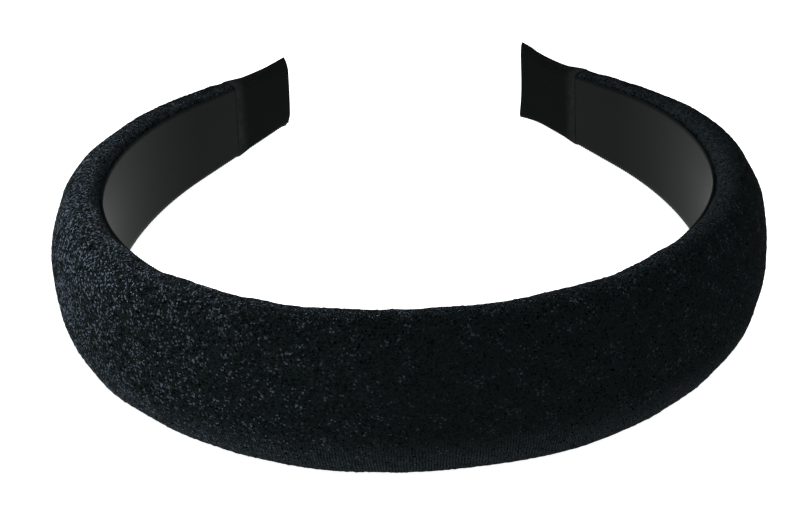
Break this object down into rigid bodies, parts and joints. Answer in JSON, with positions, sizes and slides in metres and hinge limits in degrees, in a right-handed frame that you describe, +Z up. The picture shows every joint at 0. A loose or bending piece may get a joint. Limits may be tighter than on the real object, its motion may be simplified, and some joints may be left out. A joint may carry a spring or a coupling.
{
  "type": "headband",
  "caption": "Padded velvet headband: an open hoop with a domed padded face, a ribbon lining and folded fabric tabs over its tips.",
  "frame": {"origin": "On the surface that the band rests on, under the middle of its box.", "axes": "+Z up along the width of the band, which rests on its lower edge. The crown is toward -Y, the open tips are toward +Y, and X runs from the left leg to the right leg."},
  "size_m": [0.1466, 0.1581, 0.0337],
  "materials": {
    "velvet_black": "short dense velvet pile, black with a cool sheen",
    "lining_ribbon": "smooth black grosgrain ribbon with a soft satin sheen",
    "tab_cloth": "matte black woven cloth",
    "hoop_plastic": "plain moulded black plastic",
    "foam": "open-cell polyurethane foam",
    "adhesive_film": "thin adhesive film",
    "tape": "double-sided foam tape",
    "hot_melt": "cloudy hot-melt glue"
  },
  "bodies": {
    "root": {"hoop": "hoop_plastic", "foam_film": "adhesive_film", "foam_pad": "foam", "velvet_cover": "velvet_black", "turn_in_glue_lower": "hot_melt", "turn_in_glue_upper": "hot_melt", "lining_tape": "tape", "lining": "lining_ribbon", "tip_tab_left": "tab_cloth", "tip_tab_right": "tab_cloth"}
  },
  "joints": []
}
